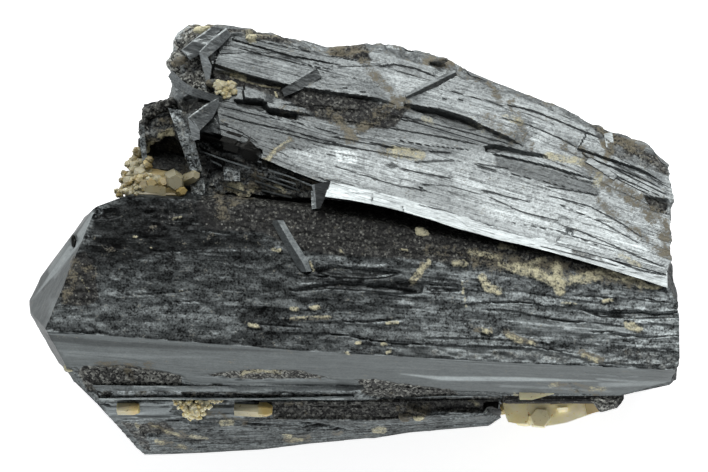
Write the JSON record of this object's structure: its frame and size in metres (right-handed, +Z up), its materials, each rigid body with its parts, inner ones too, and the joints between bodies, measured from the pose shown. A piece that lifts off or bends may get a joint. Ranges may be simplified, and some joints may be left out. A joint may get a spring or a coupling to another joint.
{
  "type": "mineral specimen",
  "caption": "Hand-size mineral specimen that lies on its broken back: long dark grooved ilvaite prisms grown side by side, with small quartz crystals on them",
  "frame": {"origin": "the middle of the bounding box's underside, on the surface that the specimen lies on", "axes": "+X along the prisms, from their pointed ends to their broken ends; +Y from the lower crystal to the upper one, across the prisms; +Z up, out of the broken back"},
  "size_m": [0.078, 0.0521, 0.0264],
  "materials": {
    "ilvaite": "dark, grooved, half shiny",
    "ilvaite_bright": "grey, grooved, shiny",
    "ilvaite_dull": "dark brown grey, rough",
    "quartz": "cream to amber, half clear"
  },
  "bodies": {
    "root": {"main_crystal": "ilvaite", "upper_crystal": "ilvaite_bright", "middle_crystal": "ilvaite_dull", "lower_crystal": "ilvaite", "small_lower_crystal": "ilvaite_dull", "quartz_left": "quartz", "quartz_lower": "quartz", "quartz_tip_left": "quartz", "quartz_tip_right": "quartz", "quartz_cluster_middle": "quartz", "quartz_upper": "quartz"}
  },
  "joints": []
}
